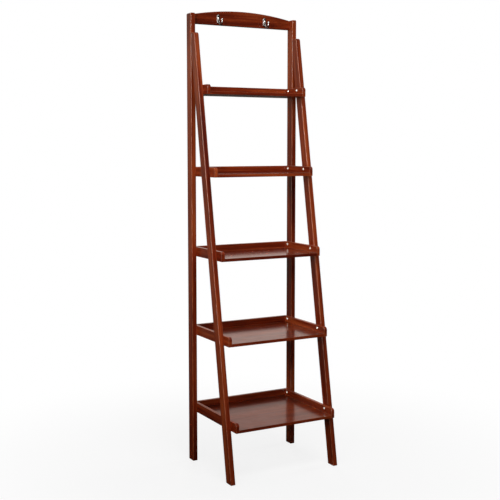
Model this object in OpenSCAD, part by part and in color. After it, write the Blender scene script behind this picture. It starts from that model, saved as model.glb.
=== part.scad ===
// Ladder shelf: two upright rear posts, two leaning front legs and five trays that
// grow deeper towards the floor, with an arched top rail that carries two robe hooks.
// Frame: +X to the right, +Z up, the front faces -Y, origin at the centre of the footprint
// on the floor. Tray 1 is the top tray and tray 5 the bottom one.

/* [Frame] */
// Overall width across the outer faces of the posts
shelf_w = 485; // [420:5:620]
// Length of the rear posts
post_h = 1800; // [1790:5:1900]
// Side-to-side thickness of the posts and legs
stock_t = 20; // [19:0.5:26]
// Front-to-back depth of the posts' and legs' section
stock_d = 40; // [38:1:48]
// Lean of the front legs from upright, in degrees
lean = 9.9; // [9:0.1:10.5]
// Height where the back of a leaning leg meets the front of its post
meet_z = 1656; // [1640:2:1670]
// Height of the top end of the front legs
leg_top_z = 1722; // [1710:2:1740]
// Radius on the upright edges of the posts
post_edge_r = 2; // [1:0.5:4]
// Radius on the front corner of each leg's top end
leg_top_r = 12; // [6:1:14]

/* [Trays] */
// Front-to-back depth of the bottom tray
tray_depth_low = 374; // [372:1:400]
// How much shallower each tray is than the one below it
tray_depth_step = 57; // [50:1:60]
// Height of the underside of the bottom tray
tray_low_z = 200; // [150:5:215]
// Height from one tray to the next
tray_pitch = 320; // [300:5:325]
// Thickness of the tray rails
rail_t = 14; // [13:0.5:18]
// Height of the tray rails
rail_h = 38; // [36:1:46]
// Radius on the upper front corner of the side rails
rail_nose_r = 12; // [4:1:13]
// Thickness of the tray boards
board_t = 12; // [10:0.5:14]

/* [Top rail] */
// Thickness of the arched top rail
top_rail_t = 18; // [16:1:24]
// Height of the top rail where it meets the posts
top_rail_h = 37; // [34:1:44]
// How far the ends of the top rail lie below the tops of the posts
top_rail_drop = 2; // [0:0.5:4]
// Rise of the top rail's arch from its ends to its crown
arch_rise = 22; // [10:1:40]

/* [Hooks] */
// Distance from the middle of the shelf to the left hook
hook_left_x = 111; // [80:1:160]
// Distance from the middle of the shelf to the right hook
hook_right_x = 101; // [80:1:160]
// Distance from the tops of the posts down to the middle of the hook plates
hook_drop = 16; // [14:1:19]
// Height of the hook plate
hook_plate_h = 36; // [34:1:40]
// Width of the hook plate
hook_plate_w = 12; // [11:1:18]
// Diameter of the hook's rod
hook_rod_d = 6; // [5:0.5:7]
// Diameter of the ball on the hook's tip
hook_ball_d = 10; // [9:0.5:12]

/* [Hidden] */
$fn = 64;
eps = 1;            // how far a cutting shape runs past the face it cuts
trays = 5;
sides = [-1, 1];

// Frame
depth = tray_depth_low;
rear_y = depth / 2;
leg_section_y = stock_d / cos(lean);    // the leaning leg's section, measured level
post_inner_x = shelf_w / 2 - stock_t;
nose_flats = 9;     // flats round the front corner of a leg's top end

// Trays
rail_inner_x = post_inner_x - rail_t;
board_w = 2 * rail_inner_x;
tongue_t = 4;
tongue_l = 5;
tongue_z = (board_t - tongue_t) / 2;
tongue_stop = 18;   // distance from the tray's front to the blind end of the groove
groove_play = 0.1;

// Bolts through the side rails into threaded inserts in the posts and legs
bolt_z = 27;        // height of the bolts above the tray's underside
bolt_back = 28;     // distance of the bolts from the back of their post or leg, measured level
bolt_head_r = 5.5;
bolt_head_h = 3.5;
bolt_head_crown = 2.2;
bolt_r = 3;
bolt_clear_r = 3.3;
bolt_reach = 10;    // how far the bolt runs into its insert
bolt_hex_af = 4;    // width of the key socket across its flats
bolt_hex_depth = 1.8;
counterbore_r = 7.5;
counterbore_depth = 3;
insert_r = 4.5;
insert_l = 13;
insert_hole_l = 15;

// Dowels between the side rails and the back rail
dowel_r = 3;
dowel_l = 24;
dowel_in_side = 8;
dowel_play = 1;     // room at each end of a dowel hole
dowel_z = [18, 30];

// Top rail and its dowels
top_rail_z = post_h - top_rail_drop - top_rail_h;
crown_z = post_h - top_rail_drop + arch_rise;
top_rail_w = 2 * post_inner_x;
arch_r = (pow(top_rail_w / 2, 2) + pow(arch_rise, 2)) / (2 * arch_rise);
top_dowel_r = 4;
top_dowel_l = 30;
top_dowel_in_post = 12;
top_dowel_z = [top_rail_z + 9, top_rail_z + 27];

// Screws from the back of each post into the top of its leg
leg_screw_z = 1692;
leg_screw_l = 60;
leg_screw_r = 2.5;
leg_screw_clear_r = 2.8;
leg_screw_head_r = 5;
leg_screw_head_h = 3.5;

// Hooks
hook_z = post_h - hook_drop;
hook_plate_t = 3;
hook_screw_dz = 13; // hook screws above and below the middle of the plate
hook_screw_r = 1.75;
hook_screw_head_r = 3.4;
hook_screw_head_h = 2;
hook_screw_l = 16;
hook_bend_r = 12;
hook_bend_y = -24;  // centre of the bend in front of the rail
hook_bend_z = -12;  // centre of the bend below the middle of the plate
hook_root_y = -2.5; // just inside the plate's front face
hook_root_z = 5;
hook_tip_l = 5;     // straight rod between the bend and the ball
hook_bead = 0.4;    // how far the bead where the run meets the bend stands proud of the rod
hook_bead_gap = 0.6; // the run stops this short of the bead's middle
hook_bead_turn = 3; // the bend stops this many degrees short of the bead's middle

wood_color = [0.46, 0.18, 0.09];
board_color = [0.40, 0.15, 0.08];
dowel_color = [0.80, 0.62, 0.40];
nickel_color = [0.82, 0.81, 0.79];
zinc_color = [0.70, 0.62, 0.42];

// Positions, with y counted from the posts' rear faces (negative is forward)
function tray_z(i) = tray_low_z + (trays - i) * tray_pitch;
function tray_depth(i) = tray_depth_low - (trays - i) * tray_depth_step;
function leg_back_y(z) = -stock_d + (z - meet_z) * tan(lean);
function bolt_ys(i) = [-bolt_back, leg_back_y(tray_z(i) + bolt_z) - bolt_back];

// Puts what is drawn from the rear face into the part's own frame
module from_rear() {
    translate([0, rear_y, 0])
        children();
}

// A cylinder along +X from x = 0
module rod_x(r, l) {
    rotate([0, 90, 0])
        cylinder(r = r, h = l);
}

// A cylinder along -Y from y = 0
module rod_forward(r, l) {
    rotate([90, 0, 0])
        cylinder(r = r, h = l);
}

// Extrudes a side profile, drawn as [y, z], along X from x0 over a width
module side_extrude(x0, w) {
    translate([x0, 0, 0])
        rotate([90, 0, 90])
            linear_extrude(w)
                children();
}

// Rectangle with its lower left corner at the origin and round corners
module round_rect(w, h, r) {
    translate([r, 0])
        square([w - 2 * r, h]);
    translate([0, r])
        square([w, h - 2 * r]);
    for (x = [r, w - r], y = [r, h - r])
        translate([x, y])
            circle(r, $fn = 32);
}

// Blind holes for the threaded inserts of all trays, in the post (which = 0) or leg (which = 1)
module insert_holes(side, which) {
    for (i = [1:trays])
        translate([side * post_inner_x, bolt_ys(i)[which], tray_z(i) + bolt_z])
            mirror([side < 0 ? 1 : 0, 0, 0])
                translate([-eps, 0, 0])
                    rod_x(insert_r, insert_hole_l + eps);
}

module rear_post(side) {
    color(wood_color)
        from_rear()
            difference() {
                translate([side > 0 ? post_inner_x : -shelf_w / 2, -stock_d, 0])
                    linear_extrude(post_h)
                        round_rect(stock_t, stock_d, post_edge_r);
                insert_holes(side, 0);
                for (z = top_dowel_z)
                    translate([side * post_inner_x, -top_rail_t / 2, z])
                        mirror([side < 0 ? 1 : 0, 0, 0])
                            translate([-eps, 0, 0])
                                rod_x(top_dowel_r, top_dowel_in_post + dowel_play + eps);
                translate([side * (shelf_w - stock_t) / 2, 0, leg_screw_z]) {
                    translate([0, eps, 0])
                        rod_forward(leg_screw_clear_r, stock_d + 2 * eps);
                    screw_sink(leg_screw_head_r, leg_screw_head_h, leg_screw_clear_r);
                }
            }
}

// The cone that a countersunk head sits in, from the surface at y = 0 forwards
module screw_sink(head_r, head_h, r) {
    rotate([90, 0, 0])
        cylinder(r1 = head_r, r2 = r, h = head_h);
}

// Side outline of a front leg: level foot, back planed flat where it lies on the post,
// and the top end's front corner taken round in short flats
module leg_profile() {
    front_y = leg_back_y(0) - leg_section_y;
    nose_z = leg_top_z - leg_top_r;
    nose_y = leg_back_y(nose_z) - leg_section_y + leg_top_r / cos(lean);
    turn = 90 - lean;
    polygon(concat(
        [[leg_back_y(0), 0], [front_y, 0]],
        [for (k = [0:nose_flats])
            [nose_y, nose_z] + leg_top_r * [-cos(lean + turn * k / nose_flats),
                                            sin(lean + turn * k / nose_flats)]],
        [[-stock_d, leg_top_z], [-stock_d, meet_z]]
    ));
}

module front_leg(side) {
    color(wood_color)
        from_rear()
            difference() {
                side_extrude(side > 0 ? post_inner_x : -shelf_w / 2, stock_t)
                    leg_profile();
                insert_holes(side, 1);
                translate([side * (shelf_w - stock_t) / 2, -stock_d + eps, leg_screw_z])
                    rod_forward(leg_screw_r, leg_screw_l - stock_d + dowel_play + eps);
            }
}

module top_rail() {
    color(wood_color)
        from_rear()
            difference() {
                rotate([90, 0, 0])
                    linear_extrude(top_rail_t)
                        intersection() {
                            translate([-top_rail_w / 2, top_rail_z])
                                square([top_rail_w, crown_z - top_rail_z + eps]);
                            translate([0, crown_z - arch_r])
                                circle(arch_r, $fn = 360);
                        }
                for (side = sides, z = top_dowel_z)
                    translate([side * post_inner_x, -top_rail_t / 2, z])
                        mirror([side > 0 ? 1 : 0, 0, 0])
                            translate([-eps, 0, 0])
                                rod_x(top_dowel_r, top_dowel_l - top_dowel_in_post + dowel_play + eps);
                for (x = [-hook_left_x, hook_right_x], dz = [-hook_screw_dz, hook_screw_dz])
                    translate([x, -top_rail_t - eps, hook_z + dz])
                        mirror([0, 1, 0])
                            rod_forward(hook_screw_r, hook_screw_l - hook_plate_t + dowel_play + eps);
            }
}

// Each tray board has a tongue on its back and side edges
module tray_board(i) {
    d = tray_depth(i);
    color(board_color)
        from_rear()
            translate([0, 0, tray_z(i)]) {
                translate([-board_w / 2, -d, 0])
                    cube([board_w, d - rail_t, board_t]);
                translate([-board_w / 2 - tongue_l, -d + tongue_stop, tongue_z])
                    cube([board_w + 2 * tongue_l, d - rail_t - tongue_stop, tongue_t]);
                translate([-board_w / 2, -rail_t - eps, tongue_z])
                    cube([board_w, tongue_l + eps, tongue_t]);
            }
}

// Side outline of a side rail, with its upper front corner rounded
module side_rail_profile(d) {
    translate([-d, 0])
        square([d, rail_h - rail_nose_r]);
    translate([-d + rail_nose_r, 0])
        square([d - rail_nose_r, rail_h]);
    translate([-d + rail_nose_r, rail_h - rail_nose_r])
        circle(rail_nose_r);
}

module side_rail(i, side) {
    d = tray_depth(i);
    color(wood_color)
        from_rear()
            translate([0, 0, tray_z(i)])
                difference() {
                    side_extrude(side > 0 ? rail_inner_x : -post_inner_x, rail_t)
                        side_rail_profile(d);
                    mirror([side < 0 ? 1 : 0, 0, 0])
                        translate([rail_inner_x, 0, 0]) {
                            translate([-eps, -d + tongue_stop - groove_play, tongue_z - groove_play])
                                cube([
                                    tongue_l + groove_play + eps,
                                    d - tongue_stop - rail_t + 2 * groove_play,
                                    tongue_t + 2 * groove_play
                                ]);
                            for (y = bolt_ys(i))
                                translate([-eps, y, bolt_z]) {
                                    rod_x(bolt_clear_r, rail_t + 2 * eps);
                                    rod_x(counterbore_r, counterbore_depth + eps);
                                }
                            for (z = dowel_z)
                                translate([-eps, -rail_t / 2, z])
                                    rod_x(dowel_r, dowel_in_side + dowel_play + eps);
                        }
                }
}

module back_rail(i) {
    color(wood_color)
        from_rear()
            translate([0, 0, tray_z(i)])
                difference() {
                    translate([-board_w / 2, -rail_t, 0])
                        cube([board_w, rail_t, rail_h]);
                    translate([-board_w / 2 - eps, -rail_t - eps, tongue_z - groove_play])
                        cube([
                            board_w + 2 * eps,
                            tongue_l + groove_play + eps,
                            tongue_t + 2 * groove_play
                        ]);
                    for (side = sides, z = dowel_z)
                        translate([side * rail_inner_x, -rail_t / 2, z])
                            mirror([side > 0 ? 1 : 0, 0, 0])
                                translate([-eps, 0, 0])
                                    rod_x(dowel_r, dowel_l - dowel_in_side + dowel_play + eps);
                }
}

// Button-head bolt along +X: its shoulder at x = 0, its head towards -X
module bolt() {
    crown_r = (pow(bolt_head_r, 2) + pow(bolt_head_crown, 2)) / (2 * bolt_head_crown);
    rim_h = bolt_head_h - bolt_head_crown;
    difference() {
        union() {
            rod_x(bolt_r, rail_t - counterbore_depth + bolt_reach);
            translate([-rim_h, 0, 0])
                rod_x(bolt_head_r, rim_h);
            intersection() {
                translate([-bolt_head_h + crown_r, 0, 0])
                    sphere(crown_r);
                translate([-bolt_head_h, 0, 0])
                    rod_x(bolt_head_r, bolt_head_h);
            }
        }
        translate([-bolt_head_h - eps, 0, 0])
            rotate([0, 90, 0])
                cylinder(r = bolt_hex_af / sqrt(3), h = bolt_hex_depth + eps, $fn = 6);
    }
}

module tray_bolts(i) {
    color(nickel_color)
        from_rear()
            for (side = sides, y = bolt_ys(i))
                mirror([side < 0 ? 1 : 0, 0, 0])
                    translate([rail_inner_x + counterbore_depth, y, tray_z(i) + bolt_z])
                        bolt();
}

module tray_inserts(i) {
    color(zinc_color)
        from_rear()
            for (side = sides, y = bolt_ys(i))
                mirror([side < 0 ? 1 : 0, 0, 0])
                    translate([post_inner_x, y, tray_z(i) + bolt_z])
                        difference() {
                            rod_x(insert_r, insert_l);
                            translate([-eps, 0, 0])
                                rod_x(bolt_r, insert_l + 2 * eps);
                        }
}

module tray_dowels(i) {
    color(dowel_color)
        from_rear()
            for (side = sides, z = dowel_z)
                mirror([side < 0 ? 1 : 0, 0, 0])
                    translate([rail_inner_x + dowel_in_side - dowel_l, -rail_t / 2, tray_z(i) + z])
                        rod_x(dowel_r, dowel_l);
}

module top_rail_dowels() {
    color(dowel_color)
        from_rear()
            for (side = sides, z = top_dowel_z)
                mirror([side < 0 ? 1 : 0, 0, 0])
                    translate([post_inner_x + top_dowel_in_post - top_dowel_l, -top_rail_t / 2, z])
                        rod_x(top_dowel_r, top_dowel_l);
}

module leg_top_screws() {
    color(zinc_color)
        from_rear()
            for (side = sides)
                translate([side * (shelf_w - stock_t) / 2, 0, leg_screw_z]) {
                    rod_forward(leg_screw_r, leg_screw_l);
                    screw_sink(leg_screw_head_r, leg_screw_head_h, leg_screw_r);
                }
}

// Plate of a hook, standing in front of y = 0 with its middle at z = 0
module hook_plate() {
    end_z = (hook_plate_h - hook_plate_w) / 2;
    rotate([90, 0, 0])
        linear_extrude(hook_plate_t) {
            square([hook_plate_w, 2 * end_z], center = true);
            for (z = [-end_z, end_z])
                translate([0, z])
                    circle(hook_plate_w / 2);
        }
}

// The rod runs down and forwards from the plate, round one bend and up to the ball.
// It is drawn in the plane of [y, z], where the run down touches the bend's circle.
module hook_rod() {
    to_bend = [hook_bend_y - hook_root_y, hook_bend_z - hook_root_z];
    run_l = sqrt(pow(norm(to_bend), 2) - pow(hook_bend_r, 2));
    run_a = 360 + atan2(to_bend[1], to_bend[0]) + asin(hook_bend_r / norm(to_bend));
    tip_y = hook_bend_y - hook_bend_r;
    r = hook_rod_d / 2;
    translate([0, hook_root_y, hook_root_z])
        rotate([run_a - 90, 0, 0]) {
            cylinder(r = r, h = run_l - hook_bead_gap);
            translate([0, 0, run_l])
                sphere(r + hook_bead);
        }
    translate([0, hook_bend_y, hook_bend_z])
        rotate([90, 0, 90])
            rotate([0, 0, 180])
                rotate_extrude(angle = run_a - 90 - hook_bead_turn)
                    translate([hook_bend_r, 0])
                        circle(r, $fn = 32);
    translate([0, tip_y, hook_bend_z])
        cylinder(r = r, h = hook_tip_l);
    translate([0, tip_y, hook_bend_z + hook_tip_l + r])
        sphere(d = hook_ball_d);
}

module hook(x) {
    color(nickel_color)
        from_rear()
            translate([x, -top_rail_t, hook_z])
                difference() {
                    union() {
                        hook_plate();
                        hook_rod();
                    }
                    for (dz = [-hook_screw_dz, hook_screw_dz])
                        translate([0, 0, dz]) {
                            translate([0, eps, 0])
                                rod_forward(hook_screw_r, hook_plate_t + 2 * eps);
                            translate([0, -hook_plate_t, 0])
                                mirror([0, 1, 0])
                                    screw_sink(hook_screw_head_r, hook_screw_head_h, hook_screw_r);
                        }
                }
}

module hook_screws() {
    color(nickel_color)
        from_rear()
            for (x = [-hook_left_x, hook_right_x], dz = [-hook_screw_dz, hook_screw_dz])
                translate([x, -top_rail_t - hook_plate_t, hook_z + dz])
                    mirror([0, 1, 0]) {
                        rod_forward(hook_screw_r, hook_screw_l);
                        screw_sink(hook_screw_head_r, hook_screw_head_h, hook_screw_r);
                    }
}

rear_post(-1);  // rear_post_left
rear_post(1);  // rear_post_right
front_leg(-1);  // front_leg_left
front_leg(1);  // front_leg_right
top_rail();
tray_board(1);  // tray_1_board
tray_board(2);  // tray_2_board
tray_board(3);  // tray_3_board
tray_board(4);  // tray_4_board
tray_board(5);  // tray_5_board
side_rail(1, -1);  // tray_1_left_rail
side_rail(2, -1);  // tray_2_left_rail
side_rail(3, -1);  // tray_3_left_rail
side_rail(4, -1);  // tray_4_left_rail
side_rail(5, -1);  // tray_5_left_rail
side_rail(1, 1);  // tray_1_right_rail
side_rail(2, 1);  // tray_2_right_rail
side_rail(3, 1);  // tray_3_right_rail
side_rail(4, 1);  // tray_4_right_rail
side_rail(5, 1);  // tray_5_right_rail
back_rail(1);  // tray_1_back_rail
back_rail(2);  // tray_2_back_rail
back_rail(3);  // tray_3_back_rail
back_rail(4);  // tray_4_back_rail
back_rail(5);  // tray_5_back_rail
tray_bolts(1);  // tray_1_bolts
tray_bolts(2);  // tray_2_bolts
tray_bolts(3);  // tray_3_bolts
tray_bolts(4);  // tray_4_bolts
tray_bolts(5);  // tray_5_bolts
tray_inserts(1);  // tray_1_inserts
tray_inserts(2);  // tray_2_inserts
tray_inserts(3);  // tray_3_inserts
tray_inserts(4);  // tray_4_inserts
tray_inserts(5);  // tray_5_inserts
tray_dowels(1);  // tray_1_dowels
tray_dowels(2);  // tray_2_dowels
tray_dowels(3);  // tray_3_dowels
tray_dowels(4);  // tray_4_dowels
tray_dowels(5);  // tray_5_dowels
top_rail_dowels();
leg_top_screws();
hook(-hook_left_x);  // hook_left
hook(hook_right_x);  // hook_right
hook_screws();
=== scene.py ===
import math

import bmesh
import bpy
from mathutils import Matrix, Vector


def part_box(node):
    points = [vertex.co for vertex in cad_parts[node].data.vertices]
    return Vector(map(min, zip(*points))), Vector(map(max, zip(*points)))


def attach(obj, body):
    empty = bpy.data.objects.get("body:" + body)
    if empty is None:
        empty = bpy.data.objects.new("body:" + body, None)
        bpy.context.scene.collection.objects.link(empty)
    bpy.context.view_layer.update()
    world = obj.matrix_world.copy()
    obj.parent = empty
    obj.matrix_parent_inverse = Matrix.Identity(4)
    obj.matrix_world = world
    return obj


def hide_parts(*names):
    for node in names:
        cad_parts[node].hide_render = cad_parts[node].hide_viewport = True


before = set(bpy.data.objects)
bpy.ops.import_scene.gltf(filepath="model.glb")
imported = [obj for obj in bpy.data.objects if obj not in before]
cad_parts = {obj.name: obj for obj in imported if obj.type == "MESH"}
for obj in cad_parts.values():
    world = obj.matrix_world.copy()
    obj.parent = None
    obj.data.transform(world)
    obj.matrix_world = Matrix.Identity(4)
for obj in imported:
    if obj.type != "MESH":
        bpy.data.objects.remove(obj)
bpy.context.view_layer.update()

MM = 0.001
TRAYS = range(1, 6)
SIDES = {"left": -1, "right": 1}

# The frame's own dimensions that its boxes don't say
LEAN = math.radians(9.9)        # lean of the front legs
MEET_Z = 1656 * MM              # height where a leg's back meets its post
STOCK_D = 40 * MM               # depth of the posts' and legs' section
LEG_TOP_R = 12 * MM             # round front corner of a leg's top end
POST_TOP_R = 5 * MM             # round corners of a post's top end
RAIL_NOSE_R = 12 * MM           # round upper front corner of a side rail
FRAME_EDGE_R = 2.6 * MM         # eased edges of posts and legs
TOP_RAIL_EDGE_R = 2 * MM
TRAY_EDGE_R = 1.6 * MM          # eased edges of rails and boards
BOLT_HEAD_R = 5.5 * MM
BOLT_HEAD_H = 3.5 * MM
BOLT_CROWN = 2.2 * MM
BOLT_R = 3 * MM
BOLT_CLEAR_R = 3.3 * MM         # hole for a bolt's shank
BOLT_LENGTH = 21 * MM
KEY_SOCKET_R = 2.31 * MM        # to the corners of the bolt's hex socket
KEY_SOCKET_DEPTH = 1.8 * MM
COUNTERBORE_DEPTH = 3 * MM
COUNTERBORE_R = 7.5 * MM
INSERT_CLEARANCE = 2 * MM       # room left behind a threaded insert in its blind hole
TRAY_DOWEL_L = 24 * MM
TOP_DOWEL_L = 30 * MM
DOWEL_PLAY = 1 * MM             # room at each end of a dowel hole
DOWEL_FLUTES = 12
BEAD_R = 1.5 * MM               # bead of lacquer between a board and its rails
LEG_SCREW_R = 2.5 * MM
LEG_SCREW_CLEAR_R = 2.8 * MM
LEG_SCREW_SINK = 0.6 * MM       # how deep its head sits in the post
HOOK_PLATE = Vector((12, 3, 36)) * MM
HOOK_SCREW_DZ = 13 * MM         # hook screws above and below the plate's middle
HOOK_SCREW_R = 1.75 * MM
HOOK_SCREW_HEAD_R = 3.3 * MM
HOOK_SCREW_L = 16 * MM
HOOK_ROD_R = 3.0 * MM
HOOK_BALL_R = 5.0 * MM
HOOK_BALL_Z = 8 * MM            # the ball's middle above the bend's end
HOOK_BEND_R = 12 * MM
HOOK_BEND = Vector((-24, -12)) * MM     # the bend's centre from the plate's middle, in y and z
HOOK_ROOT = Vector((-2.2, 5.0)) * MM    # where the prong leaves the plate, in y and z
PAST = MM                       # how far a cutting shape runs past the face it cuts

# ---------------------------------------------------------------- mesh helpers


def new_object(name, bm):
    """A mesh object in the row frame, made from bm."""
    bmesh.ops.recalc_face_normals(bm, faces=bm.faces)
    mesh = bpy.data.meshes.new(name)
    bm.to_mesh(mesh)
    bm.free()
    obj = bpy.data.objects.new(name, mesh)
    bpy.context.scene.collection.objects.link(obj)
    return obj


def in_space(axis, u, v, w):
    """The point whose coordinate along axis is w; u and v are the other two, in X, Y, Z order."""
    return {"X": (w, u, v), "Y": (u, w, v), "Z": (u, v, w)}[axis]


def prism(bm, outline, axis, low, high):
    """Extrudes a 2D outline along an axis."""
    ends = [[bm.verts.new(in_space(axis, u, v, w)) for u, v in outline] for w in (low, high)]
    count = len(outline)
    bm.faces.new(ends[0])
    bm.faces.new(ends[1][::-1])
    for k in range(count):
        bm.faces.new([ends[0][k], ends[1][k], ends[1][(k + 1) % count], ends[0][(k + 1) % count]])
    bmesh.ops.recalc_face_normals(bm, faces=bm.faces)


def ease_edges(bm, radius, segments=4, sharp=math.radians(30)):
    """Rounds every edge sharper than an angle, and marks the rounding's middle in a vertex layer, the mask
    for worn stain and a painted highlight along the edges.
    """
    wear_and_sheen = bm.verts.layers.float.new("wear_and_sheen")
    edges = [e for e in bm.edges if e.calc_face_angle(0) > sharp]
    made = bmesh.ops.bevel(bm, geom=edges, offset=radius, offset_type="OFFSET", segments=segments,
                           profile=0.5, affect="EDGES", clamp_overlap=True)
    rounding = set(made["faces"])
    for vert in made["verts"]:
        vert[wear_and_sheen] = 1.0 if all(f in rounding for f in vert.link_faces) else 0.0


def lathe(bm, profile, origin, axis, segments=32, bored=False):
    """Turns a profile of (distance along axis, radius) round the axis; a radius of 0 closes it to a point.

    A bored profile is a closed loop round a through hole; any other is closed at both ends."""
    turn = Vector(axis).to_track_quat("Z", "Y").to_matrix()
    rings = []
    for along, radius in profile:
        if radius == 0:
            rings.append([bm.verts.new(Vector(origin) + turn @ Vector((0, 0, along)))])
            continue
        rings.append([
            bm.verts.new(Vector(origin) + turn @ Vector((
                radius * math.cos(2 * math.pi * k / segments),
                radius * math.sin(2 * math.pi * k / segments),
                along,
            )))
            for k in range(segments)
        ])
    pairs = list(zip(rings, rings[1:]))
    if bored:
        pairs.append((rings[-1], rings[0]))
    for a, b in pairs:
        for k in range(segments):
            corners = [a[k % len(a)], a[(k + 1) % len(a)], b[(k + 1) % len(b)], b[k % len(b)]]
            unique = list(dict.fromkeys(corners))
            if len(unique) > 2:
                bm.faces.new(unique)
    for ring in (rings[0], rings[-1]):
        if len(ring) > 1 and not bored:
            bm.faces.new(ring)


def sweep(bm, path, radii, side, segments=28):
    """A round tube along points in a plane, whose normal is side, with a radius at each point."""
    rings = []
    for k, (point, radius) in enumerate(zip(path, radii)):
        ahead = path[min(k + 1, len(path) - 1)] - path[max(k - 1, 0)]
        across = ahead.normalized().cross(side)
        rings.append([
            bm.verts.new(point + radius * (
                math.cos(2 * math.pi * s / segments) * across + math.sin(2 * math.pi * s / segments) * side
            ))
            for s in range(segments)
        ])
    for a, b in zip(rings, rings[1:]):
        for s in range(segments):
            bm.faces.new([a[s], a[(s + 1) % segments], b[(s + 1) % segments], b[s]])
    bm.faces.new(rings[0])
    bm.faces.new(rings[-1])


def boolean(obj, tool_bm, operation):
    """Cuts or joins the solids in tool_bm, and keeps the result as obj's mesh."""
    tool = new_object("tool", tool_bm)
    step = obj.modifiers.new(operation, "BOOLEAN")
    step.operation = operation
    step.solver = "EXACT"
    step.object = tool
    bpy.context.view_layer.update()
    graph = bpy.context.evaluated_depsgraph_get()
    result = bpy.data.meshes.new_from_object(obj.evaluated_get(graph))
    obj.modifiers.remove(step)
    old = obj.data
    obj.data = result
    result.name = obj.name
    bpy.data.meshes.remove(old)
    bpy.data.objects.remove(tool)


def finish_piece(obj, material, slot, *nodes, sharp=math.radians(40)):
    """Shading, finish and place in the frame of one piece that stands for CAD nodes."""
    obj.data.polygons.foreach_set("use_smooth", [True] * len(obj.data.polygons))
    obj.data.set_sharp_from_angle(angle=sharp)
    even = obj.modifiers.new("Even normals", "WEIGHTED_NORMAL")
    even.keep_sharp = True
    obj.data.materials.clear()
    obj.data.materials.append(material)
    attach(obj, "root")
    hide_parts(*nodes)
    return obj


# ---------------------------------------------------------------- materials


def new_material(name):
    material = bpy.data.materials.new(name)
    material.use_nodes = True
    tree = material.node_tree
    shader = tree.nodes["Principled BSDF"]
    return material, tree, shader


def node(tree, kind, **settings):
    """A new node; settings are its inputs by name, or its own properties."""
    made = tree.nodes.new(kind)
    for key, value in settings.items():
        if key in made.inputs:
            made.inputs[key].default_value = value
        else:
            setattr(made, key, value)
    return made


def ramp(tree, source, *stops):
    """A colour ramp over source, from (position, colour) stops."""
    made = tree.nodes.new("ShaderNodeValToRGB")
    elements = made.color_ramp.elements
    while len(elements) < len(stops):
        elements.new(0.5)
    for element, (position, colour) in zip(elements, stops):
        element.position = position
        element.color = (*colour, 1)
    tree.links.new(source, made.inputs["Fac"])
    return made.outputs["Color"]


def maths(tree, operation, *values):
    """A maths node on sockets or numbers."""
    made = node(tree, "ShaderNodeMath", operation=operation)
    for socket, value in zip(made.inputs, values):
        if isinstance(value, (int, float)):
            socket.default_value = value
        else:
            tree.links.new(value, socket)
    return made.outputs[0]


def mix_colour(tree, factor, a, b, blend="MIX"):
    """Mixes two colours, each a socket or a colour."""
    made = node(tree, "ShaderNodeMix", data_type="RGBA", blend_type=blend)
    for socket, value in ((made.inputs[0], factor), (made.inputs[6], a), (made.inputs[7], b)):
        if isinstance(value, bpy.types.NodeSocket):
            tree.links.new(value, socket)
        else:
            socket.default_value = value if isinstance(value, (int, float)) else (*value, 1)
    return made.outputs[2]


GRAIN_TURN = {
    "X": (0, 0, 0),
    "Y": (0, 0, -math.pi / 2),
    "Z": (0, math.pi / 2, 0),
    "leg": (LEAN, math.pi / 2, 0),
}


def stretched_noise(tree, vector, along, across, detail, roughness=0.5, distortion=0.0):
    """Noise whose features are 1/along metres long with the grain and 1/across metres wide."""
    scaled = node(tree, "ShaderNodeMapping", Scale=(along, across, across))
    tree.links.new(vector, scaled.inputs["Vector"])
    noise = node(tree, "ShaderNodeTexNoise", Scale=1.0, Detail=detail, Roughness=roughness,
                 Distortion=distortion)
    tree.links.new(scaled.outputs["Vector"], noise.inputs["Vector"])
    return noise.outputs["Fac"]


def grain_colour(tree, vector, streaks, pores, dark, mid, light):
    """The stained colour: a broad figure, bands and streaks, with dark pores."""
    figure = stretched_noise(tree, vector, 1.6, 16, 2, distortion=0.6)
    bands = stretched_noise(tree, vector, 3.2, 95, 3, distortion=0.4)
    tone = maths(tree, "MULTIPLY", figure, 0.46)
    tone = maths(tree, "ADD", tone, maths(tree, "MULTIPLY", bands, 0.34))
    tone = maths(tree, "ADD", tone, maths(tree, "MULTIPLY", streaks, 0.20))
    colour = ramp(tree, tone, (0.39, dark), (0.505, mid), (0.63, light))
    pore_mask = ramp(tree, pores, (0.30, (1, 1, 1)), (0.40, (0, 0, 0)))
    pore_colour = tuple(c * 0.35 for c in dark)
    return mix_colour(tree, maths(tree, "MULTIPLY", pore_mask, 0.45), colour, pore_colour)


def worn_and_sheen_edges(tree, place, colour, light):
    """Lightens the colour in patches along the eased edges, where the vertex layer from ease_edges is 1:
    partly worn, thinner stain and partly a painted highlight.
    """
    wear_and_sheen_mask = node(tree, "ShaderNodeAttribute", attribute_name="wear_and_sheen")
    patch = node(tree, "ShaderNodeTexNoise", Scale=38.0, Detail=3.0)
    tree.links.new(place.outputs["Object"], patch.inputs["Vector"])
    patchy = ramp(tree, patch.outputs["Fac"], (0.38, (0, 0, 0)), (0.62, (1, 1, 1)))
    amount = maths(tree, "MULTIPLY_ADD", patchy, 0.35, 0.12)
    wear_and_sheen_amount = maths(tree, "MULTIPLY", wear_and_sheen_mask.outputs["Fac"], amount)
    # the lighter, pinkish tone is worn stain and also a painted highlight along the edges
    return mix_colour(tree, wear_and_sheen_amount, colour, (light[0] * 1.3, light[1] * 2.6, light[2] * 5))


def shaded_level_faces(tree, place, colour, mid, amount):
    """Paints shade on level faces: darkens their colour the more level they lie."""
    facing = node(tree, "ShaderNodeSeparateXYZ")
    tree.links.new(place.outputs["Normal"], facing.inputs[0])
    level = maths(tree, "MULTIPLY", maths(tree, "ABSOLUTE", facing.outputs["Z"]), amount)
    # painted shade: a darker copy of the middle tone laid on level faces
    return mix_colour(tree, level, colour, tuple(c * 0.35 for c in mid))


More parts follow.
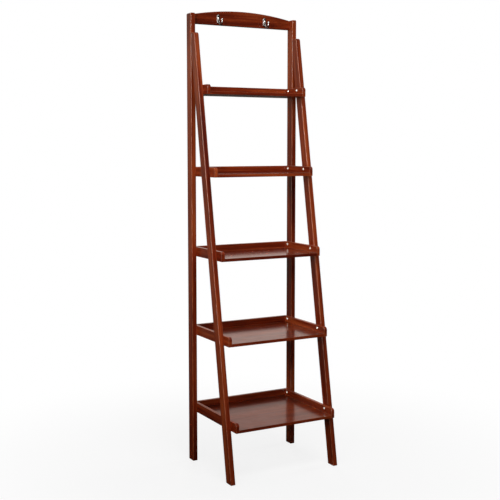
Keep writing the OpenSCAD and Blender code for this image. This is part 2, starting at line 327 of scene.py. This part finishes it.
def lacquered_wood(name, grain, dark, mid, light, gloss=0.10, coat=0.6, offset=(0, 0, 0), level_shade=0.0):
    """Stained wood under clear lacquer, with its grain along an axis. The last argument paints shade on level
    faces by darkening them.
    """
    material, tree, shader = new_material(name)
    place = node(tree, "ShaderNodeTexCoord")
    turned = node(tree, "ShaderNodeMapping", Rotation=GRAIN_TURN[grain], Location=offset)
    tree.links.new(place.outputs["Object"], turned.inputs["Vector"])
    vector = turned.outputs["Vector"]
    streaks = stretched_noise(tree, vector, 9, 420, 4, 0.6)
    pores = stretched_noise(tree, vector, 60, 2300, 2)

    colour = grain_colour(tree, vector, streaks, pores, dark, mid, light)
    # eased edges: worn stain plus a painted highlight
    colour = worn_and_sheen_edges(tree, place, colour, light)
    # painted shade on level faces
    if level_shade:
        colour = shaded_level_faces(tree, place, colour, mid, level_shade)
    tree.links.new(colour, shader.inputs["Base Color"])

    smudge = node(tree, "ShaderNodeTexNoise", Scale=14.0, Detail=4.0)
    tree.links.new(place.outputs["Object"], smudge.inputs["Vector"])
    rough = ramp(tree, smudge.outputs["Fac"], (0.35, (0.30,) * 3), (0.70, (0.42,) * 3))
    tree.links.new(rough, shader.inputs["Roughness"])
    shader.inputs["Specular IOR Level"].default_value = 0.12
    shader.inputs["Coat Weight"].default_value = coat
    shader.inputs["Coat Roughness"].default_value = gloss
    shader.inputs["Coat IOR"].default_value = 1.5

    half_streaks = maths(tree, "MULTIPLY", streaks, 0.5)
    half_pores = maths(tree, "MULTIPLY", pores, 0.5)
    bump = node(tree, "ShaderNodeBump", Strength=0.25, Distance=0.0002)
    tree.links.new(maths(tree, "ADD", half_streaks, half_pores), bump.inputs["Height"])
    tree.links.new(bump.outputs["Normal"], shader.inputs["Normal"])
    return material


def plated_metal(name, colour, roughness, brushed=0.0):
    """Plated metal with faint handling marks."""
    material, tree, shader = new_material(name)
    place = node(tree, "ShaderNodeTexCoord")
    marks = node(tree, "ShaderNodeTexNoise", Scale=260.0, Detail=4.0)
    tree.links.new(place.outputs["Object"], marks.inputs["Vector"])
    tint = ramp(tree, marks.outputs["Fac"], (0.3, tuple(c * 0.86 for c in colour)), (0.65, colour))
    rough = ramp(tree, marks.outputs["Fac"], (0.3, (roughness,) * 3), (0.7, (roughness * 1.7,) * 3))
    tree.links.new(tint, shader.inputs["Base Color"])
    tree.links.new(rough, shader.inputs["Roughness"])
    shader.inputs["Metallic"].default_value = 1.0
    bump = node(tree, "ShaderNodeBump", Strength=0.05 + brushed, Distance=0.0001)
    tree.links.new(marks.outputs["Fac"], bump.inputs["Height"])
    tree.links.new(bump.outputs["Normal"], shader.inputs["Normal"])
    return material


# The stain's darkest, middle and lightest tones, and the same for bare beech
DARK = (0.10, 0.007, 0.0013)
MID = (0.25, 0.027, 0.0045)
LIGHT = (0.44, 0.078, 0.017)
BEECH_DARK = (0.42, 0.27, 0.14)
BEECH_MID = (0.58, 0.40, 0.22)
BEECH_LIGHT = (0.68, 0.50, 0.30)
WOOD_POST = lacquered_wood("wood_post", "Z", DARK, MID, LIGHT)
WOOD_LEG = lacquered_wood("wood_leg", "leg", DARK, MID, LIGHT, offset=(1.7, 0.3, 0.9))
WOOD_TOP = lacquered_wood("wood_top_rail", "X", DARK, MID, LIGHT)
WOOD_SIDE = lacquered_wood("wood_side_rail", "Y", DARK, MID, LIGHT)
WOOD_BACK = lacquered_wood("wood_back_rail", "X", DARK, MID, LIGHT, offset=(0.6, 0, 0.2))
# the boards' level faces get painted shade
WOOD_BOARD = lacquered_wood("wood_board", "X", DARK, MID, LIGHT, gloss=0.15, coat=1.0, level_shade=0.6)
NICKEL = plated_metal("bright_nickel", (0.47, 0.455, 0.43), 0.15)
BOLT_NICKEL = plated_metal("satin_nickel", (0.94, 0.92, 0.88), 0.30)
SCREW_NICKEL = plated_metal("plated_screw", (0.50, 0.49, 0.47), 0.22)
ZINC = plated_metal("zinc", (0.72, 0.66, 0.48), 0.30, brushed=0.1)
BEECH = lacquered_wood("raw_beech", "X", BEECH_DARK, BEECH_MID, BEECH_LIGHT, coat=0.0)

# ---------------------------------------------------------------- wooden pieces


def corner_arc(centre, radius, start, end, steps=8):
    """Points of an arc round a centre, angles in radians."""
    return [
        (centre[0] + radius * math.cos(start + (end - start) * k / steps),
         centre[1] + radius * math.sin(start + (end - start) * k / steps))
        for k in range(steps + 1)
    ]


def bolt_places(tray):
    """Where a tray's bolts go: two [y, z] on each side."""
    low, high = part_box(f"tray_{tray}_bolts")
    z = (low.z + high.z) / 2
    return [(high.y - BOLT_HEAD_R, z), (low.y + BOLT_HEAD_R, z)]


def dowel_places(cad_node, length):
    """The inner end, the outward sign and the radius of each dowel of a CAD node."""
    low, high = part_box(cad_node)
    radius = (high.y - low.y) / 2
    middle_y = (low.y + high.y) / 2
    return [
        (Vector((sign * (high.x - length), middle_y, z)), sign, radius)
        for sign in SIDES.values() for z in (low.z + radius, high.z - radius)
    ]


def dowel_holes(cut, cad_node, length):
    """Adds the holes that a CAD node's dowels sit in to a cutting mesh."""
    hole = (-DOWEL_PLAY, length + DOWEL_PLAY)
    for start, sign, radius in dowel_places(cad_node, length):
        lathe(cut, [(along, radius) for along in hole], start, (sign, 0, 0), segments=24)


def insert_holes(cut, side, place):
    """Adds the holes of the threaded inserts in a post (place 0) or a leg (place 1) to a cutting mesh."""
    low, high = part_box(f"rear_post_{side}")
    inner_x = high.x if side == "left" else low.x
    for tray in TRAYS:
        insert_low, insert_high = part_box(f"tray_{tray}_inserts")
        radius = (insert_high.z - insert_low.z) / 2
        depth = insert_high.x - abs(inner_x) + INSERT_CLEARANCE
        y, z = bolt_places(tray)[place]
        lathe(cut, [(-PAST, radius), (depth, radius)], (inner_x, y, z), (SIDES[side], 0, 0))


def rear_post(side):
    name = f"rear_post_{side}"
    low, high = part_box(name)
    bm = bmesh.new()
    outline = [(low.x, low.z), (high.x, low.z)]
    outline += corner_arc((high.x - POST_TOP_R, high.z - POST_TOP_R), POST_TOP_R, 0, math.pi / 2)
    outline += corner_arc((low.x + POST_TOP_R, high.z - POST_TOP_R), POST_TOP_R, math.pi / 2, math.pi)
    prism(bm, outline, "Y", low.y, high.y)
    ease_edges(bm, FRAME_EDGE_R)
    post = new_object(f"post_{side}", bm)

    # the sunk seat of the screw that holds the leg's top
    screw_low, screw_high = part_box("leg_top_screws")
    cut = bmesh.new()
    seat = Vector(((low.x + high.x) / 2, high.y, (screw_low.z + screw_high.z) / 2))
    seat_r = (screw_high.z - screw_low.z) / 2 + 0.3 * MM
    seat_depth = 3.8 * MM
    hole_depth = 10 * MM
    lathe(cut, [
        (-PAST, seat_r + PAST),
        (0, seat_r),
        (seat_depth, LEG_SCREW_CLEAR_R),
        (hole_depth, LEG_SCREW_CLEAR_R),
    ], seat, (0, -1, 0))
    insert_holes(cut, side, 0)
    dowel_holes(cut, "top_rail_dowels", TOP_DOWEL_L)
    boolean(post, cut, "DIFFERENCE")
    return finish_piece(post, WOOD_POST, "frame_wood", name)


def front_leg(side):
    name = f"front_leg_{side}"
    low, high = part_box(name)
    slope = math.tan(LEAN)
    section = STOCK_D / math.cos(LEAN)
    nose_z = high.z - LEG_TOP_R
    nose_y = high.y + (nose_z - MEET_Z) * slope - section + LEG_TOP_R / math.cos(LEAN)
    outline = [(high.y - MEET_Z * slope, low.z), (low.y, low.z)]
    outline += corner_arc((nose_y, nose_z), LEG_TOP_R, math.pi - LEAN, math.pi / 2)
    outline += [(high.y, high.z), (high.y, MEET_Z)]
    bm = bmesh.new()
    prism(bm, outline, "X", low.x, high.x)
    ease_edges(bm, FRAME_EDGE_R)
    leg = new_object(f"leg_{side}", bm)
    cut = bmesh.new()
    insert_holes(cut, side, 1)
    boolean(leg, cut, "DIFFERENCE")
    return finish_piece(leg, WOOD_LEG, "frame_wood", name)


def top_rail():
    low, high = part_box("top_rail")
    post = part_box("rear_post_left")[1]
    end_drop = 2 * MM               # the rail's ends are this far below the posts' tops
    end_z = post.z - end_drop
    rise = high.z - end_z
    half = (high.x - low.x) / 2
    radius = (half * half + rise * rise) / (2 * rise)
    sweep_a = math.asin(half / radius)
    outline = [(low.x, low.z), (high.x, low.z)]
    outline += corner_arc((0, high.z - radius), radius, math.pi / 2 - sweep_a, math.pi / 2 + sweep_a, 40)
    bm = bmesh.new()
    prism(bm, outline, "Y", low.y, high.y)
    ease_edges(bm, TOP_RAIL_EDGE_R)
    rail = new_object("arched_top_rail", bm)
    cut = bmesh.new()
    dowel_holes(cut, "top_rail_dowels", TOP_DOWEL_L)
    boolean(rail, cut, "DIFFERENCE")
    return finish_piece(rail, WOOD_TOP, "frame_wood", "top_rail")


def side_rail(tray, side):
    name = f"tray_{tray}_{side}_rail"
    low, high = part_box(name)
    outline = [(high.y, low.z), (high.y, high.z)]
    outline += corner_arc((low.y + RAIL_NOSE_R, high.z - RAIL_NOSE_R), RAIL_NOSE_R, math.pi / 2, math.pi)
    outline += [(low.y, low.z)]
    bm = bmesh.new()
    prism(bm, outline, "X", low.x, high.x)
    ease_edges(bm, TRAY_EDGE_R)
    rail = new_object(f"side_rail_{tray}_{side}", bm)

    inner_x = high.x if side == "left" else low.x
    outward = (SIDES[side], 0, 0)
    cut = bmesh.new()
    rim_r = COUNTERBORE_R + 1.2 * MM
    rim_depth = 0.6 * MM
    through = 16 * MM           # past the rail's outer face
    for y, z in bolt_places(tray):
        lathe(cut, [
            (-PAST, rim_r),
            (rim_depth, COUNTERBORE_R),
            (COUNTERBORE_DEPTH, COUNTERBORE_R),
            (COUNTERBORE_DEPTH, BOLT_CLEAR_R),
            (through, BOLT_CLEAR_R),
        ], (inner_x, y, z), outward)
    dowel_holes(cut, f"tray_{tray}_dowels", TRAY_DOWEL_L)
    boolean(rail, cut, "DIFFERENCE")
    return finish_piece(rail, WOOD_SIDE, "rail_wood", name)


def back_rail(tray):
    name = f"tray_{tray}_back_rail"
    low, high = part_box(name)
    bm = bmesh.new()
    prism(bm, [(low.y, low.z), (high.y, low.z), (high.y, high.z), (low.y, high.z)], "X", low.x, high.x)
    ease_edges(bm, TRAY_EDGE_R)
    rail = new_object(f"back_rail_{tray}", bm)
    cut = bmesh.new()
    dowel_holes(cut, f"tray_{tray}_dowels", TRAY_DOWEL_L)
    boolean(rail, cut, "DIFFERENCE")
    return finish_piece(rail, WOOD_BACK, "rail_wood", name)


def lacquer_bead(obj, start, end, towards):
    """Adds the concave bead of lacquer where a board meets a rail; towards points off the rail."""
    bead = bmesh.new()
    in_rail, in_board = -0.3 * MM, -0.6 * MM
    section = [(in_rail, in_board), (BEAD_R, in_board)]
    section += [(BEAD_R - BEAD_R * math.sin(a), BEAD_R - BEAD_R * math.cos(a))
                for a in (math.pi / 2 * k / 6 for k in range(7))]
    section.append((in_rail, BEAD_R))
    rings = [[bead.verts.new(Vector((p[0] + u * towards[0], p[1] + u * towards[1], p[2] + v)))
              for u, v in section] for p in (start, end)]
    count = len(section)
    for k in range(count):
        bead.faces.new([rings[0][k], rings[1][k], rings[1][(k + 1) % count], rings[0][(k + 1) % count]])
    bead.faces.new(rings[0])
    bead.faces.new(rings[1])
    bmesh.ops.recalc_face_normals(bead, faces=bead.faces)
    boolean(obj, bead, "UNION")


def board(tray):
    name = f"tray_{tray}_board"
    low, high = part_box(name)
    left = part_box(f"tray_{tray}_left_rail")[1].x
    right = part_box(f"tray_{tray}_right_rail")[0].x
    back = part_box(f"tray_{tray}_back_rail")[0].y
    bm = bmesh.new()
    prism(bm, [(low.y, low.z), (back, low.z), (back, high.z), (low.y, high.z)], "X", left, right)
    ease_edges(bm, TRAY_EDGE_R * 0.6)
    top = new_object(f"board_{tray}", bm)
    front = low.y + 3 * MM
    lacquer_bead(top, (left, front, high.z), (left, back, high.z), (1, 0))
    lacquer_bead(top, (right, front, high.z), (right, back, high.z), (-1, 0))
    lacquer_bead(top, (left, back, high.z), (right, back, high.z), (0, -1))
    return finish_piece(top, WOOD_BOARD, "board_wood", name)


# ---------------------------------------------------------------- hardware


def socket_bolt(bm, cut, seat, axis):
    """A button-head bolt: its shoulder is at seat and its shank runs along axis. cut takes its key socket."""
    crown_r = (BOLT_HEAD_R ** 2 + BOLT_CROWN ** 2) / (2 * BOLT_CROWN)
    rim = math.asin(BOLT_HEAD_R / crown_r)
    profile = [(-BOLT_HEAD_H, 0)]
    for k in range(1, 9):
        a = rim * 0.97 * k / 8
        profile.append((-BOLT_HEAD_H + crown_r * (1 - math.cos(a)), crown_r * math.sin(a)))
    rim_x = BOLT_CROWN - BOLT_HEAD_H
    chamfer = 0.3 * MM
    profile += [
        (rim_x + chamfer, BOLT_HEAD_R),
        (-chamfer, BOLT_HEAD_R),
        (0, BOLT_HEAD_R - chamfer),
        (0, BOLT_R),
        (BOLT_LENGTH - 2 * chamfer, BOLT_R),
        (BOLT_LENGTH, BOLT_R - 2 * chamfer),
        (BOLT_LENGTH, 0),
    ]
    lathe(bm, profile, seat, axis, segments=40)
    lathe(cut, [
        (-BOLT_HEAD_H - PAST, KEY_SOCKET_R + 0.5 * MM),
        (-BOLT_HEAD_H + 0.15 * MM, KEY_SOCKET_R),
        (-BOLT_HEAD_H + KEY_SOCKET_DEPTH, KEY_SOCKET_R),
        (-BOLT_HEAD_H + 2.5 * MM, 0),
    ], seat, axis, segments=6)


def tray_bolts(tray):
    name = f"tray_{tray}_bolts"
    bm = bmesh.new()
    cut = bmesh.new()
    for side, sign in SIDES.items():
        low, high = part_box(f"tray_{tray}_{side}_rail")
        seat_x = (high.x if side == "left" else low.x) + sign * COUNTERBORE_DEPTH
        for y, z in bolt_places(tray):
            socket_bolt(bm, cut, (seat_x, y, z), (sign, 0, 0))
    bolts = new_object(f"bolts_{tray}", bm)
    boolean(bolts, cut, "DIFFERENCE")
    return finish_piece(bolts, BOLT_NICKEL, "bolt_nickel", name)


def tray_inserts(tray):
    """The inserts of a tray's bolts: a thin flange, rings for an outer thread and a plain bore."""
    name = f"tray_{tray}_inserts"
    low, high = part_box(name)
    outer_r = (high.z - low.z) / 2
    root_r = outer_r * 0.84
    bore_r = BOLT_R + 0.05 * MM
    pitch = 2.2 * MM
    bm = bmesh.new()
    for side, sign in SIDES.items():
        post_low, post_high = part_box(f"rear_post_{side}")
        face_x = post_high.x if side == "left" else post_low.x
        length = high.x - abs(face_x)
        profile = [(0, bore_r), (0, outer_r), (MM, outer_r), (1.1 * MM, root_r)]
        along = 1.6 * MM
        while along < length - pitch:
            profile += [
                (along, root_r),
                (along + 0.4 * pitch, outer_r),
                (along + 0.5 * pitch, outer_r),
                (along + 0.8 * pitch, root_r),
            ]
            along += pitch
        profile += [(length, outer_r * 0.8), (length, bore_r)]
        for y, z in bolt_places(tray):
            lathe(bm, profile, (face_x, y, z), (sign, 0, 0), bored=True)
    return finish_piece(new_object(f"inserts_{tray}", bm), ZINC, "insert_zinc", name)


def dowels(cad_node, length, name):
    """Fluted dowels with chamfered ends."""
    bm = bmesh.new()
    corners = 4 * DOWEL_FLUTES
    chamfer = 1.2 * MM
    end_scale, flute_scale = 0.72, 0.93
    sections = ((0, end_scale), (chamfer, 1), (length - chamfer, 1), (length, end_scale))
    for start, sign, radius in dowel_places(cad_node, length):
        rings = []
        for along, scale in sections:
            ring = []
            for k in range(corners):
                r = radius * scale * (flute_scale if k % 4 == 0 else 1)
                a = 2 * math.pi * k / corners
                corner = Vector((sign * along, r * math.cos(a), r * math.sin(a)))
                ring.append(bm.verts.new(start + corner))
            rings.append(ring)
        for a, b in zip(rings, rings[1:]):
            for k in range(corners):
                bm.faces.new([a[k], a[(k + 1) % corners], b[(k + 1) % corners], b[k]])
        bm.faces.new(rings[0])
        bm.faces.new(rings[-1])
    return finish_piece(new_object(name, bm), BEECH, "dowel_beech", cad_node)


def cross_recess(cut, face, axis, reach, depth):
    """A tapered plus-shaped plug that cuts a screw's cross recess. face is on the head's surface."""
    turn = Vector(axis).to_track_quat("Z", "Y").to_matrix() @ Matrix.Rotation(math.pi / 4, 3, "Z")
    thin = 0.24         # half an arm's width over its length
    arms = [(1, -thin), (1, thin), (thin, thin), (thin, 1), (-thin, 1), (-thin, thin),
            (-1, thin), (-1, -thin), (-thin, -thin), (-thin, -1), (thin, -1), (thin, -thin)]
    count = len(arms)
    rings = []
    for along, long_r, short_r in ((-depth, reach, reach), (depth, reach * 0.45, reach * 0.7)):
        ring = []
        for x, y in arms:
            across = x * (long_r if abs(x) == 1 else short_r)
            up = y * (long_r if abs(y) == 1 else short_r)
            ring.append(cut.verts.new(Vector(face) + turn @ Vector((across, up, along))))
        rings.append(ring)
    for k in range(count):
        cut.faces.new([rings[0][k], rings[0][(k + 1) % count], rings[1][(k + 1) % count], rings[1][k]])
    for ring in rings:
        cut.faces.new(ring)


def wood_screw(bm, cut, face, axis, head_r, shank_r, length):
    """A countersunk screw with a slightly raised head, a cross recess and rings for its thread."""
    pitch = 1.5 * MM
    core_r = shank_r * 0.78
    neck = head_r - shank_r + 0.3 * MM
    profile = [
        (-0.5 * MM, 0),
        (-0.45 * MM, head_r * 0.35),
        (-0.25 * MM, head_r * 0.75),
        (0, head_r * 0.97),
        (0.25 * MM, head_r),
        (neck, shank_r),
        (neck + 2 * MM, shank_r),
    ]
    along = neck + 3 * MM
    while along < length - 4 * MM:
        profile += [(along, core_r), (along + pitch * 0.4, shank_r), (along + pitch * 0.55, core_r)]
        along += pitch
    profile += [(length - 3 * MM, shank_r * 0.7), (length, 0)]
    lathe(bm, profile, face, axis, segments=28)
    cross_recess(cut, Vector(face), axis, head_r * 0.55, 1.3 * MM)


def prong_run():
    """The prong's root and its straight run to the bend: points in y and z, their radii, its angle."""
    away = HOOK_BEND - HOOK_ROOT
    run_a = math.atan2(away.y, away.x) + math.asin(HOOK_BEND_R / away.length)
    run_l = math.sqrt(away.length ** 2 - HOOK_BEND_R ** 2)
    heading = Vector((math.cos(run_a), math.sin(run_a)))
    shoulder_r = 1.3 * HOOK_ROD_R
    path = []
    radii = []
    for k in range(8):
        a = math.pi / 2 * (k + 0.3) / 8
        path.append(HOOK_ROOT - heading * shoulder_r * math.cos(a))
        radii.append(shoulder_r * math.sin(a))
    for k in range(20):
        t = k / 20
        path.append(HOOK_ROOT + heading * run_l * t)
        radii.append(HOOK_ROD_R * (1.0 + 0.3 * (1 - min(1, t / 0.5)) ** 2))
    return path, radii, run_a


def prong_bend(run_a):
    """Half a turn round the bend, slightly tapered."""
    start = run_a + math.pi / 2
    swing = start + math.pi
    path = []
    radii = []
    for k in range(33):
        a = start - swing * k / 32
        path.append(HOOK_BEND + HOOK_BEND_R * Vector((math.cos(a), math.sin(a))))
        radii.append(HOOK_ROD_R * (1 - 0.12 * k / 32))
    return path, radii


def prong_tip():
    """The neck above the bend and the ball on it."""
    tip = HOOK_BEND + Vector((-HOOK_BEND_R, 0))
    neck_r = HOOK_ROD_R * 0.88
    join = -math.sqrt(HOOK_BALL_R ** 2 - neck_r ** 2)
    path = [tip + Vector((0, lift)) for lift in (2 * MM, HOOK_BALL_Z + join)]
    radii = [neck_r, neck_r]
    for k in range(1, 16):
        s = join + (HOOK_BALL_R * 0.999 - join) * (1 - math.cos(math.pi * k / 15)) / 2
        path.append(tip + Vector((0, HOOK_BALL_Z + s)))
        radii.append(max(math.sqrt(max(HOOK_BALL_R ** 2 - s * s, 0)), 0.2 * MM))
    return path, radii


def hook(side):
    """A robe hook: an eased plate with two sunk screw holes, and one prong that ends in a ball."""
    name = f"hook_{side}"
    low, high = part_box(name)
    middle = Vector(((low.x + high.x) / 2, high.y, high.z - HOOK_PLATE.z / 2))
    half_w = HOOK_PLATE.x / 2
    half_h = HOOK_PLATE.z / 2
    bm = bmesh.new()
    outline = corner_arc((middle.x, middle.z + half_h - half_w), half_w, 0, math.pi, 16)
    outline += corner_arc((middle.x, middle.z - half_h + half_w), half_w, math.pi, 2 * math.pi, 16)
    prism(bm, outline, "Y", middle.y - HOOK_PLATE.y, middle.y)
    ease_edges(bm, 0.9 * MM, segments=3, sharp=math.radians(60))
    plate = new_object(f"robe_hook_{side}", bm)

    run, run_radii, run_a = prong_run()
    bend, bend_radii = prong_bend(run_a)
    tip, tip_radii = prong_tip()
    path = [Vector((middle.x, middle.y + p.x, middle.z + p.y)) for p in run + bend + tip]
    prong = bmesh.new()
    sweep(prong, path, run_radii + bend_radii + tip_radii, Vector((1, 0, 0)))
    boolean(plate, prong, "UNION")

    cut = bmesh.new()
    seat_r, clear_r = 3.5 * MM, 1.9 * MM
    for dz in (-HOOK_SCREW_DZ, HOOK_SCREW_DZ):
        lathe(cut, [(-PAST, 4.0 * MM), (0, seat_r), (1.8 * MM, clear_r), (5 * MM, clear_r)],
              (middle.x, middle.y - HOOK_PLATE.y, middle.z + dz), (0, 1, 0))
    boolean(plate, cut, "DIFFERENCE")
    return finish_piece(plate, NICKEL, "hook_nickel", name)


def hook_screws():
    bm = bmesh.new()
    cut = bmesh.new()
    for side in SIDES:
        low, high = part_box(f"hook_{side}")
        for dz in (-HOOK_SCREW_DZ, HOOK_SCREW_DZ):
            face = Vector(((low.x + high.x) / 2, high.y - HOOK_PLATE.y, high.z - HOOK_PLATE.z / 2 + dz))
            wood_screw(bm, cut, face, (0, 1, 0), HOOK_SCREW_HEAD_R, HOOK_SCREW_R, HOOK_SCREW_L)
    screws = new_object("robe_hook_screws", bm)
    boolean(screws, cut, "DIFFERENCE")
    return finish_piece(screws, SCREW_NICKEL, "screw_nickel", "hook_screws")


def leg_top_screws():
    low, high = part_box("leg_top_screws")
    bm = bmesh.new()
    cut = bmesh.new()
    head_r = (high.z - low.z) / 2
    length = high.y - low.y - MM
    for x in (low.x + head_r, high.x - head_r):
        face = Vector((x, high.y - LEG_SCREW_SINK, (low.z + high.z) / 2))
        wood_screw(bm, cut, face, (0, -1, 0), head_r - 0.2 * MM, LEG_SCREW_R, length)
    screws = new_object("leg_screws", bm)
    boolean(screws, cut, "DIFFERENCE")
    return finish_piece(screws, ZINC, "screw_zinc", "leg_top_screws")


for side in SIDES:
    rear_post(side)
    front_leg(side)
    hook(side)
top_rail()
for tray in TRAYS:
    for side in SIDES:
        side_rail(tray, side)
    back_rail(tray)
    board(tray)
    tray_bolts(tray)
    tray_inserts(tray)
    dowels(f"tray_{tray}_dowels", TRAY_DOWEL_L, f"beech_dowels_{tray}")
dowels("top_rail_dowels", TOP_DOWEL_L, "beech_dowels_top")
hook_screws()
leg_top_screws()

# ---------------------------------------------------------------- floor, light and camera


def floor():
    """A pale floor that fades into the backdrop."""
    radius = 60.0
    dip = MM            # its middle lies this far below the feet
    bm = bmesh.new()
    lathe(bm, [(0, radius), (-dip, 0)], (0, 0, 0), (0, 0, 1), segments=96)
    plane = new_object("floor", bm)
    material, tree, shader = new_material("pale_floor")
    place = node(tree, "ShaderNodeTexCoord")
    away = node(tree, "ShaderNodeVectorMath", operation="LENGTH")
    tree.links.new(place.outputs["Object"], away.inputs[0])
    fade = node(tree, "ShaderNodeMapRange", interpolation_type="SMOOTHSTEP")
    for key, value in {"From Min": 0.2, "From Max": 1.6, "To Min": 0.84, "To Max": 1.0}.items():
        fade.inputs[key].default_value = value
    tree.links.new(away.outputs["Value"], fade.inputs["Value"])
    shader.inputs["Base Color"].default_value = (0.86, 0.86, 0.86, 1)
    shader.inputs["Roughness"].default_value = 0.9
    glow = node(tree, "ShaderNodeEmission", Color=(1, 1, 1, 1), Strength=1.0)
    blend = node(tree, "ShaderNodeMixShader")
    tree.links.new(fade.outputs["Result"], blend.inputs[0])
    tree.links.new(shader.outputs[0], blend.inputs[1])
    tree.links.new(glow.outputs[0], blend.inputs[2])
    tree.links.new(blend.outputs[0], tree.nodes["Material Output"].inputs["Surface"])
    plane.data.materials.append(material)
    plane.visible_glossy = False
    plane.visible_diffuse = False


def softbox(name, place, target, size, power, spread):
    """A rectangular light aimed at a target; spread is in degrees."""
    data = bpy.data.lights.new(name, "AREA")
    data.spread = math.radians(spread)
    data.shape = "RECTANGLE"
    data.size, data.size_y = size
    data.energy = power
    light = bpy.data.objects.new(name, data)
    light.location = place
    light.rotation_euler = (Vector(target) - Vector(place)).to_track_quat("-Z", "Y").to_euler()
    bpy.context.scene.collection.objects.link(light)
    return light


WALL_TINT = (1.25, 1.0, 0.90)
LEFT_WALL_TINT = (1.25, 0.98, 0.74)


def smooth_step(tree, source, low, high):
    """Rises smoothly from 0 to 1 as source goes from low to high."""
    step = node(tree, "ShaderNodeMapRange", interpolation_type="SMOOTHSTEP")
    step.inputs["From Min"].default_value = low
    step.inputs["From Max"].default_value = high
    tree.links.new(source, step.inputs["Value"])
    return step.outputs["Result"]


def sky(tree, height, *stops, tint=(1, 1, 1)):
    """Brightness of the surroundings by elevation, from (degrees, value) stops."""
    return ramp(tree, height, *[
        (0.5 + 0.5 * math.sin(math.radians(degrees)), tuple(value * c for c in tint))
        for degrees, value in stops
    ])


def studio_walls(tree, split, height):
    """What mirror rays meet: a back wall lit from above its foot, dimmer on the left, and a dark front."""
    left_stops = (
        (-30, 0.005), (-14, 0.015), (-9, 0.135), (0, 0.195), (5, 0.33), (8, 0.33), (17, 0.17), (60, 0.11),
    )
    right_stops = ((-30, 0.01), (-3, 0.02), (0, 0.34), (5, 0.66), (8, 0.66), (17, 0.34), (60, 0.22))
    left_wall = sky(tree, height, *left_stops, tint=LEFT_WALL_TINT)
    right_wall = sky(tree, height, *right_stops, tint=WALL_TINT)
    front = sky(tree, height, (-30, 0.01), (-5, 0.02), (10, 0.05), (60, 0.20))
    to_right = smooth_step(tree, split.outputs["X"], -0.3, 0.3)
    to_back = smooth_step(tree, split.outputs["Y"], -0.45, 0.45)
    wall = mix_colour(tree, to_right, left_wall, right_wall)
    return mix_colour(tree, to_back, front, wall)


def studio_window(tree, split, height):
    """A tall bright window at the front left, which only shows as glints."""
    bearing = math.radians(59)
    brightness = 12.0
    flat = node(tree, "ShaderNodeCombineXYZ")
    tree.links.new(split.outputs["X"], flat.inputs["X"])
    tree.links.new(split.outputs["Y"], flat.inputs["Y"])
    unit = node(tree, "ShaderNodeVectorMath", operation="NORMALIZE")
    tree.links.new(flat.outputs[0], unit.inputs[0])
    towards = node(tree, "ShaderNodeVectorMath", operation="DOT_PRODUCT")
    towards.inputs[1].default_value = (-math.sin(bearing), -math.cos(bearing), 0)
    tree.links.new(unit.outputs[0], towards.inputs[0])
    inside = smooth_step(tree, towards.outputs["Value"], 0.95, 0.985)
    rise = sky(tree, height, (-4, 0.0), (4, 0.6), (12, 0.6), (20, 1.0), (28, 1.0), (36, 0.0))
    return maths(tree, "MULTIPLY", maths(tree, "MULTIPLY", inside, rise), brightness)


def surroundings():
    """White to the camera, a studio to mirror rays and a soft gradient to diffuse rays."""
    world = bpy.data.worlds.new("studio")
    bpy.context.scene.world = world
    world.use_nodes = True
    world.cycles.sampling_method = "NONE"
    tree = world.node_tree
    tree.nodes.clear()
    place = node(tree, "ShaderNodeTexCoord")
    split = node(tree, "ShaderNodeSeparateXYZ")
    tree.links.new(place.outputs["Generated"], split.inputs[0])
    height = maths(tree, "MULTIPLY_ADD", split.outputs["Z"], 0.5, 0.5)

    walls = studio_walls(tree, split, height)
    window = studio_window(tree, split, height)
    mirrored = mix_colour(tree, 1.0, walls, window, "ADD")
    soft_stops = ((0.35, 0.005), (0.5, 0.02), (0.75, 0.06), (1.0, 0.12))
    soft = ramp(tree, height, *[(position, (value,) * 3) for position, value in soft_stops])

    path = node(tree, "ShaderNodeLightPath")
    lit = mix_colour(tree, path.outputs["Is Diffuse Ray"], mirrored, soft)
    seen = mix_colour(tree, path.outputs["Is Camera Ray"], lit, (1, 1, 1))
    background = node(tree, "ShaderNodeBackground", Strength=1.0)
    tree.links.new(seen, background.inputs["Color"])
    output = node(tree, "ShaderNodeOutputWorld")
    tree.links.new(background.outputs[0], output.inputs["Surface"])


def camera():
    """The photograph's view: from the front left, a little above the middle of the shelf."""
    azimuth, pitch = math.radians(29.0), math.radians(5.5)
    data = bpy.data.cameras.new("camera")
    data.sensor_width = 36.0
    data.lens = 68.3
    data.shift_y = -0.025
    cam = bpy.data.objects.new("camera", data)
    cam.location = (-1.867, -3.261, 1.280)
    aim = Vector((math.sin(azimuth) * math.cos(pitch), math.cos(azimuth) * math.cos(pitch), -math.sin(pitch)))
    cam.rotation_euler = aim.to_track_quat("-Z", "Y").to_euler()
    bpy.context.scene.collection.objects.link(cam)
    bpy.context.scene.camera = cam


floor()
surroundings()
softbox("key", (-0.15, -1.5, 3.0), (0, -0.15, 0.8), (1.4, 0.8), 6.4, spread=70)
softbox("strip", (-2.6, -0.35, 2.1), (-0.2, 0, 1.5), (0.3, 1.2), 2.4, spread=90)
softbox("fill", (-2.2, -1.9, 2.0), (0, -0.1, 1.4), (0.6, 0.9), 4.7, spread=75)
softbox("low_fill", (-2.6, -1.2, 0.9), (0, -0.1, 0.9), (0.4, 0.9), 2.2, spread=75)
softbox("right_side", (2.6, 0.25, 1.7), (0, 0, 0.9), (0.8, 1.2), 6, spread=90).visible_glossy = False
softbox("behind", (0.9, 2.6, 1.9), (0, 0.1, 0.9), (0.8, 1.2), 6, spread=90).visible_glossy = False
camera()
bpy.context.scene.view_settings.view_transform = "Standard"
